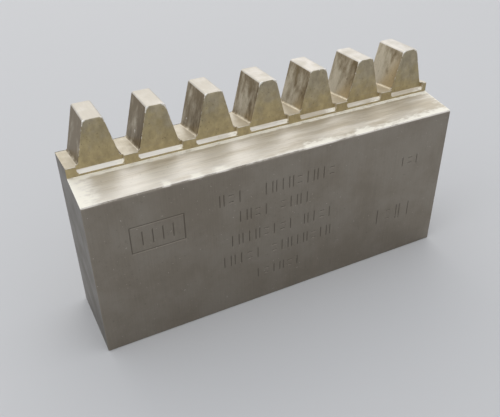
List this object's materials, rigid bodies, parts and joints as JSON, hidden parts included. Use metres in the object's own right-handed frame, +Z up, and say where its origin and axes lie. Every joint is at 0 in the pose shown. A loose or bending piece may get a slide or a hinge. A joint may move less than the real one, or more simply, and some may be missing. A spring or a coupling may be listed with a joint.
{
  "type": "rack-type gear planing cutter",
  "caption": "Straight-toothed rack cutter: a ground steel block with a sloping ledge and a comb of trapezoidal rack teeth along its top edge.",
  "frame": {"origin": "middle of the base face, under the middle of the cutter's overall box", "axes": "+X along the rack to the right end, +Y from the front (rake) side to the back, +Z up to the tooth tips"},
  "size_m": [0.093, 0.0204, 0.0527],
  "materials": {
    "ground_steel_block": "ground hardened tool steel, dulled by handling",
    "ground_steel_comb": "ground hardened tool steel with brown oil staining"
  },
  "bodies": {
    "root": {"shank": "ground_steel_block", "comb_base": "ground_steel_comb", "tooth_1": "ground_steel_comb", "tooth_2": "ground_steel_comb", "tooth_3": "ground_steel_comb", "tooth_4": "ground_steel_comb", "tooth_5": "ground_steel_comb", "tooth_6": "ground_steel_comb", "tooth_7": "ground_steel_comb"}
  },
  "joints": []
}
